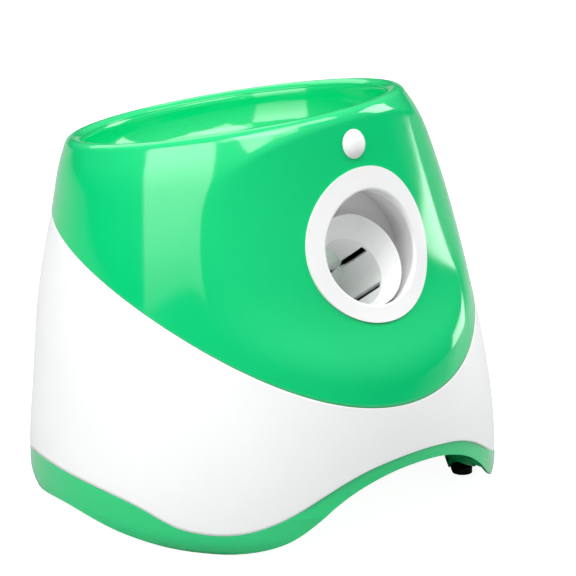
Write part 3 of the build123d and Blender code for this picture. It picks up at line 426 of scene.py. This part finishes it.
# %% Parting line and base band
PARTING_REACH = 150.0           # the curve runs this far in front of and behind the middle
PARTING = [(-PARTING_REACH, 67.5), (0.0, 180.8), (PARTING_REACH, 165.6)]        # y, z of its points
FRONT_BAND = [                  # distance from the arch's middle, height
    (0.0, 53.9), (21.3, 52.3), (37.2, 48.9), (51.7, 43.1), (65.0, 35.6),
    (76.9, 27.9), (87.8, 21.6), (97.9, 17.3), (106.0, 15.4), (112.0, 15.0), (118.0, 15.2),
]
SIDE_BAND = [
    (0.0, 31.8), (16.0, 31.5), (33.3, 30.2), (50.2, 27.5), (65.0, 22.8),
    (77.9, 17.4), (86.0, 15.7), (94.5, 15.1), (104.0, 15.1),
]
BACK_BAND = [
    (0.0, 26.0), (22.0, 25.2), (42.0, 22.8), (58.0, 19.0), (70.0, 16.2), (82.0, 15.1), (90.0, 15.1),
]
SIDE_ANGLE = 97.0               # degrees from the front to the middle of a side arch
BANDS = [(0.0, FRONT_BAND), (SIDE_ANGLE, SIDE_BAND), (-SIDE_ANGLE, SIDE_BAND), (180.0, BACK_BAND)]
FAR_BELOW = -1e3                # height where no arch's line reaches


def parting_height(points):
    """Height of the parting line over a place: one Bezier curve whose y runs evenly."""
    (y0, z0), (_, z1), (y2, z2) = PARTING
    u = (points[..., 1] - y0) / (y2 - y0)
    return z0 * (1 - u)**2 + 2 * z1 * u * (1 - u) + z2 * u**2


def mirrored(line):
    """Spline through half an arch's points and their mirror images."""
    distance = [-x for x, z in reversed(line[1:])] + [x for x, z in line]
    return spline(distance, [z for x, z in reversed(line[1:])] + [z for x, z in line])


band_lines = [(math.radians(angle), line[-1][0], mirrored(line)) for angle, line in BANDS]


def band_height(points):
    """Height of the base band's upper edge: the highest of the arches' lines that reach the place."""
    best = np.full(points.shape[:-1], FAR_BELOW)
    for turn, reach, line in band_lines:
        across = points[..., 0] * math.cos(turn) + points[..., 1] * math.sin(turn)
        out = points[..., 0] * math.sin(turn) - points[..., 1] * math.cos(turn)
        inside = (out > 0) & (np.abs(across) <= reach)
        best = np.where(inside, np.maximum(best, line(across)), best)
    return best


front_and_back = np.array([[0.0, -PARTING_REACH, 0.0], [0.0, PARTING_REACH, 0.0]])
print("parting line's height in front and behind:", np.round(parting_height(front_and_back), 1))

# %% [markdown]
# ## From a grid to a piece
#
# Both shells are grids that close round the body. A Solidify modifier gives each one its wall and a crisp
# edge where it ends. A hole is cut by leaving faces out and drawing the points beside it on to its
# circle, which keeps the edge round without a cutter.

# %% Helpers for the shells


def grid_faces(rows, columns):
    """Quads of a grid that closes round its columns."""
    row, column = np.meshgrid(np.arange(rows - 1), np.arange(columns), indexing="ij")
    after = (column + 1) % columns
    low, high = row * columns, (row + 1) * columns
    return np.stack([low + column, low + after, high + after, high + column], axis=-1).reshape(-1, 4)


def smooth_piece(name, points_mm, faces, material):
    """A smooth-shaded mesh object of the housing, from points in millimetres and lists of corners."""
    mesh = bpy.data.meshes.new(name)
    mesh.from_pydata((points_mm * MM).tolist(), [], faces)
    mesh.validate()
    mesh.polygons.foreach_set("use_smooth", np.ones(len(mesh.polygons), bool))
    mesh.materials.append(material)
    piece = bpy.data.objects.new(name, mesh)
    bpy.context.scene.collection.objects.link(piece)
    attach(piece, "housing")
    return piece


def shell_piece(name, points, faces, material, wall_mm):
    """A skin without its unused points, given its moulded wall inwards."""
    used = np.unique(faces)
    renumber = np.full(len(points), -1)
    renumber[used] = np.arange(len(used))
    piece = smooth_piece(name, points[used], renumber[faces].tolist(), material)
    wall = piece.modifiers.new("wall", "SOLIDIFY")
    wall.thickness = wall_mm * MM
    wall.offset = -1.0
    wall.use_even_offset = True
    return piece


HOLE_REACH = 40.0               # how far in front of and behind its middle a hole cuts


def cut_hole(points, faces, middle, out, radius):
    """Leave out the faces inside a round hole and move the points beside it on to its circle."""
    offset = points - middle
    along = offset @ out
    flat = offset - along[:, None] * out
    away = np.linalg.norm(flat, axis=1)
    inside = (away < radius) & (np.abs(along) < HOLE_REACH)
    faces = faces[~inside[faces].all(axis=1)]
    edge = inside & np.isin(np.arange(len(points)), faces)
    points = points.copy()
    points[edge] += (radius / away[edge] - 1)[:, None] * flat[edge]
    return points, faces


print("quads between three rings of eight points:", len(grid_faces(3, 8)))

# %% [markdown]
# ## Upper shell
#
# One grid runs from the parting line up the wall and over the rolled lip to the dark line inside the rim,
# so that a reflection crosses from wall to lip without a break. Two separate surfaces would show a seam
# where they meet, and on a glossy shell even a fine seam catches the eye.

# %% Grid of the upper shell
AROUND = 540
WALL_ROWS = 74
LIP_ROWS = 14
# Stack heights that are searched for the parting line. Behind, the line would need about 193, so there
# the edge of both shells stays on the circle at 186, up to about 6.5 mm below the line.
LOWEST_PARTING, HIGHEST_PARTING = 60.0, 186.0
phi = np.linspace(0, 2 * np.pi, AROUND, endpoint=False)


def wall_grid(bottom, top, rows):
    """Points of the skin on rows that run evenly from one stack height to another at each angle."""
    step = np.linspace(0, 1, rows)[:, None]
    height = bottom + (top - bottom) * step
    return skin(height, np.broadcast_to(phi, height.shape))


upper_edge = height_where(
    lambda points: parting_height(points) + HAIRLINE / 2, phi, LOWEST_PARTING, HIGHEST_PARTING
)
wall = wall_grid(upper_edge, top_height, WALL_ROWS)
lip_rings = np.array([lip_ring(angle) for angle in np.linspace(LIP_START, LIP_END, LIP_ROWS)[1:]])
lip = on_ring(lip_rings[:, None, :], phi[None, :])
points = np.concatenate([wall, lip]).reshape(-1, 3)
faces = grid_faces(WALL_ROWS + LIP_ROWS - 1, AROUND)
print("grid of the upper shell:", len(points), "points")

# %% [markdown]
# The shell has a round hole for the muzzle's shroud and a small one for the sensor's dome. Both look
# forwards and up by their own rise, so each one has a middle and a direction of its own.

# %% Holes and wall of the upper shell
BEZEL_Y, BEZEL_Z, BEZEL_RISE = -94.85, 168.5, 20.7
MUZZLE_DROP, SHROUD_HOLE = 1.7, 40.9
DOME_Y, DOME_Z, DOME_RISE, DOME_HOLE = -78.7, 225.0, 14.5, 7.5
UPPER_WALL = 1.2                # thin, because over the lip it sinks into the bowl's own roll


def hole_axis(y, z, rise, drop=0.0):
    """Middle and direction of a hole that looks forwards and up by its rise."""
    turn = math.radians(rise)
    out = np.array([0, -math.cos(turn), math.sin(turn)])
    up = np.array([0, math.sin(turn), math.cos(turn)])
    return np.array([0.0, y, z]) - drop * up, out


muzzle_middle, muzzle_out = hole_axis(BEZEL_Y, BEZEL_Z, BEZEL_RISE, MUZZLE_DROP)
dome_middle, dome_out = hole_axis(DOME_Y, DOME_Z, DOME_RISE)
points, faces = cut_hole(points, faces, muzzle_middle, muzzle_out, SHROUD_HOLE)
points, faces = cut_hole(points, faces, dome_middle, dome_out, DOME_HOLE)
upper = shell_piece("upper_shell_skin", points, faces, green_abs, UPPER_WALL)
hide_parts("upper_shell")
print("upper shell:", len(upper.data.polygons), "faces")

# %% [markdown]
# ## Lower shell
#
# The same skin between the base band and the parting line, in satin white. Two round holes in its rear
# wall let the button and the power inlet through.

# %% Lower shell
LOWER_ROWS = 60
LOWEST_BAND, HIGHEST_BAND = 5.0, 100.0
REAR_Y, REAR_Z = 133.0, 73.0
REAR_HOLES = ((20.0, 8.1), (-20.0, 5.8))        # x and radius, of the button and of the power inlet
LOWER_WALL = 2.8
BACKWARDS = np.array((0.0, 1.0, 0.0))
band_edge = height_where(lambda points: band_height(points) + HAIRLINE, phi, LOWEST_BAND, HIGHEST_BAND)
lower_edge = height_where(
    lambda points: parting_height(points) - HAIRLINE / 2, phi, LOWEST_PARTING, HIGHEST_PARTING
)
points = wall_grid(band_edge, lower_edge, LOWER_ROWS).reshape(-1, 3)
faces = grid_faces(LOWER_ROWS, AROUND)
for x, radius in REAR_HOLES:
    points, faces = cut_hole(points, faces, np.array((x, REAR_Y, REAR_Z)), BACKWARDS, radius)
lower = shell_piece("lower_shell_skin", points, faces, white_abs, LOWER_WALL)
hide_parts("lower_shell")
print("lower shell:", len(lower.data.polygons), "faces")

# %% [markdown]
# ## Plunger spring
#
# A compression spring of drawn wire with closed ends, where its pitch shrinks to about the wire's own
# thickness. It stands between the plunger's head and the barrel's cap, and it shortens as the plunger
# draws back. The plunger would run through a rigid spring, so a tube along a helix replaces the solid.

# %% Shape of the spring
BARREL_Y, BARREL_Z, BORE_RISE = -77.1, 147.2, 36.5
SPRING_FRONT, SPRING_END = 64.5, 128.0          # distances behind the barrel's front end
SPRING_RADIUS, WIRE_RADIUS, SPRING_TURNS = 11.0, 0.9, 10.0
CLOSED_TURN = 0.3               # share of a turn before the coils begin to open
COIL_RINGS, COIL_SIDES = 361, 12
bore_turn = math.radians(BORE_RISE)
bore_front = np.array((0.0, BARREL_Y, BARREL_Z))
bore_back = np.array((0.0, math.cos(bore_turn), -math.sin(bore_turn)))
bore_over = np.array((0.0, math.sin(bore_turn), math.cos(bore_turn)))
bore_side = np.array((1.0, 0.0, 0.0))


def coil_wire():
    """Tube along a helix whose advance is the running sum of its pitch; each ring is a circle round it."""
    turned = np.linspace(0, SPRING_TURNS, COIL_RINGS)
    open_pitch = (SPRING_END - SPRING_FRONT) / SPRING_TURNS
    opening = np.clip(np.minimum(turned, SPRING_TURNS - turned) - CLOSED_TURN, 0, 1)
    pitch = 2 * WIRE_RADIUS + (open_pitch - 2 * WIRE_RADIUS) * opening
    advance = np.concatenate([[0], np.cumsum((pitch[1:] + pitch[:-1]) / 2)])
    length = SPRING_END - SPRING_FRONT - 2 * WIRE_RADIUS
    advance = SPRING_FRONT + WIRE_RADIUS + length * advance / advance[-1]
    angle = 2 * np.pi * turned
    outwards = np.cos(angle)[:, None] * bore_side + np.sin(angle)[:, None] * bore_over
    middle = bore_front + advance[:, None] * bore_back + SPRING_RADIUS * outwards
    forward = np.gradient(middle, axis=0)
    forward /= np.linalg.norm(forward, axis=1, keepdims=True)
    third = np.cross(forward, outwards)
    around = np.linspace(0, 2 * np.pi, COIL_SIDES, endpoint=False)[None, :, None]
    ring = np.cos(around) * outwards[:, None] + np.sin(around) * third[:, None]
    return (middle[:, None] + WIRE_RADIUS * ring).reshape(-1, 3)


print("spring:", SPRING_TURNS, "turns of wire", 2 * WIRE_RADIUS, "mm thick")

# %% Plunger spring
points = coil_wire()
first_end = list(range(COIL_SIDES))[::-1]
last_end = list(range(len(points) - COIL_SIDES, len(points)))
faces = grid_faces(COIL_RINGS, COIL_SIDES).tolist() + [first_end, last_end]
spring = smooth_piece("plunger_spring_wire", points, faces, spring_wire)
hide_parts("plunger_spring")
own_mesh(spring)

# %% [markdown]
# ## Floor
#
# The object stands on a wide sheet of pale paper, which throws light back up under the base. Rays from the
# camera get an added glow, so that the paper looks white and still keeps a faint shadow. Stronger lamps
# would whiten it too, but they would also bleach the object.

# %% Floor
FLOOR_SIZE = 6.0
PAPER_GLOW = 0.95               # added for the camera only, so the paper shows white with a faint shadow


def camera_sees(tree, others, seen):
    """Shader that is one thing to rays from the camera and another to all others."""
    is_camera = node(tree, "ShaderNodeLightPath").outputs["Is Camera Ray"]
    return node(tree, "ShaderNodeMixShader", {0: is_camera, 1: others, 2: seen}).outputs[0]


half = FLOOR_SIZE / 2
floor_mesh = bpy.data.meshes.new("floor")
floor_corners = [(-half, -half, 0), (half, -half, 0), (half, half, 0), (-half, half, 0)]
floor_mesh.from_pydata(floor_corners, [], [(0, 1, 2, 3)])
floor = bpy.data.objects.new("floor", floor_mesh)
bpy.context.scene.collection.objects.link(floor)
floor_paper, tree, _, output = start_material("white_paper")
paper = node(tree, "ShaderNodeBsdfDiffuse", {"Color": colour("#BEBEBE")}).outputs[0]
glow = node(tree, "ShaderNodeEmission", {"Color": (1, 1, 1, 1), "Strength": PAPER_GLOW}).outputs[0]
glowing_paper = node(tree, "ShaderNodeAddShader", {0: paper, 1: glow}).outputs[0]
tree.links.new(camera_sees(tree, paper, glowing_paper), output.inputs["Surface"])
floor_mesh.materials.append(floor_paper)
print("floor:", FLOOR_SIZE, "m square")

# %% [markdown]
# ## Surroundings
#
# A room that is dim at the horizon and bright overhead. A glossy wall mirrors what is near the horizon, so
# a dim horizon keeps the green deep. Rays from the camera see a white backdrop instead.

# %% Surroundings
ROOM_LOW, ROOM_HIGH = 0.06, 0.9         # brightness at the horizon and straight above
world = bpy.data.worlds.new("studio")
bpy.context.scene.world = world
world.use_nodes = True
tree = world.node_tree
tree.nodes.clear()
output = node(tree, "ShaderNodeOutputWorld")
backdrop = node(tree, "ShaderNodeBackground", {"Color": (1, 1, 1, 1), "Strength": 1.0}).outputs[0]
way = node(tree, "ShaderNodeTexCoord").outputs["Generated"]
rise = node(tree, "ShaderNodeSeparateXYZ", {"Vector": way}).outputs["Z"]
brightness = between(tree, rise, ROOM_LOW, ROOM_HIGH)
room = node(tree, "ShaderNodeBackground", {"Color": colour("#F4F6F8"), "Strength": brightness}).outputs[0]
tree.links.new(camera_sees(tree, room, backdrop), output.inputs["Surface"])
print("room brightness:", ROOM_LOW, "to", ROOM_HIGH)

# %% [markdown]
# ## Lamps
#
# Softboxes are bright rectangles, and a mirror-like shell shows each one as a shape with straight edges.
# The left box makes the upright pale strip on the green front, and its lower edge is dim, so the strip
# fades downwards. The right box and the low strip under it make the pale line down the front right edge.
# The front box and the lip box stand high above and brighten what looks upwards. The back box lights the
# rear.

# %% Lamps
BOXES = [
    # name, place of its middle in metres, direction of its width, direction of its height,
    # width and height in metres, power in watts, share of the glow that its lower edge keeps
    ("left_box", (-0.784, -0.018, 0.514), (0.41, -0.888, 0.21), (0.337, 0.362, 0.869),
     (0.669, 0.70), 8.2, 0.16),
    ("front_box", (0.045, -0.511, 1.53), (0.996, 0.087, 0), (-0.082, 0.936, 0.342),
     (1.6, 0.6), 14.0, 1.0),
    ("lip_box", (-0.455, -0.758, 1.83), (0.857, -0.515, 0), (0.457, 0.761, 0.460),
     (1.5, 0.3), 4.6, 1.0),
    ("right_box", (0.945, -0.253, 0.655), (0.259, 0.966, 0), (-0.448, 0.120, 0.886),
     (0.42, 0.44), 3.3, 1.0),
    ("right_low_strip", (0.966, -0.217, 0.088), (0.219, 0.972, -0.12), (0, 0, 1),
     (0.30, 0.12), 0.46, 1.0),
    ("back_box", (0.382, 1.424, 1.153), (-0.966, 0.259, 0), (-0.148, -0.554, 0.819),
     (1.4, 1.0), 7.0, 1.0),
]


def softbox(name, middle, right, up, size, power, fade):
    """Rectangular lamp, its width along right and its height along up; fade dims its lower edge."""
    across = np.array(right) / np.linalg.norm(right)
    rise = np.array(up) - np.dot(up, across) * across
    rise = rise / np.linalg.norm(rise)
    data = bpy.data.lights.new(name, "AREA")
    data.shape = "RECTANGLE"
    data.size, data.size_y = size
    data.energy = power
    data.use_nodes = True
    tree = data.node_tree
    tree.nodes.clear()
    over = node(tree, "ShaderNodeNewGeometry").outputs["Parametric"]
    height = node(tree, "ShaderNodeSeparateXYZ", {"Vector": over}).outputs["Y"]
    glow = node(tree, "ShaderNodeEmission", {"Strength": between(tree, height, fade, 1.0)})
    node(tree, "ShaderNodeOutputLight", {"Surface": glow.outputs[0]})
    lamp = bpy.data.objects.new(name, data)
    bpy.context.scene.collection.objects.link(lamp)
    turn = Matrix([[*row] for row in np.stack([across, rise, np.cross(across, rise)], axis=1)])
    lamp.matrix_world = Matrix.Translation(middle) @ turn.to_4x4()


for box in BOXES:
    softbox(*box)
print("lamps:", len(BOXES))

# %% [markdown]
# ## Settings
#
# The Standard view transform shows a colour about as it is written, where a filmic one would grey it.

# %% Settings
bpy.context.scene.view_settings.view_transform = "Standard"
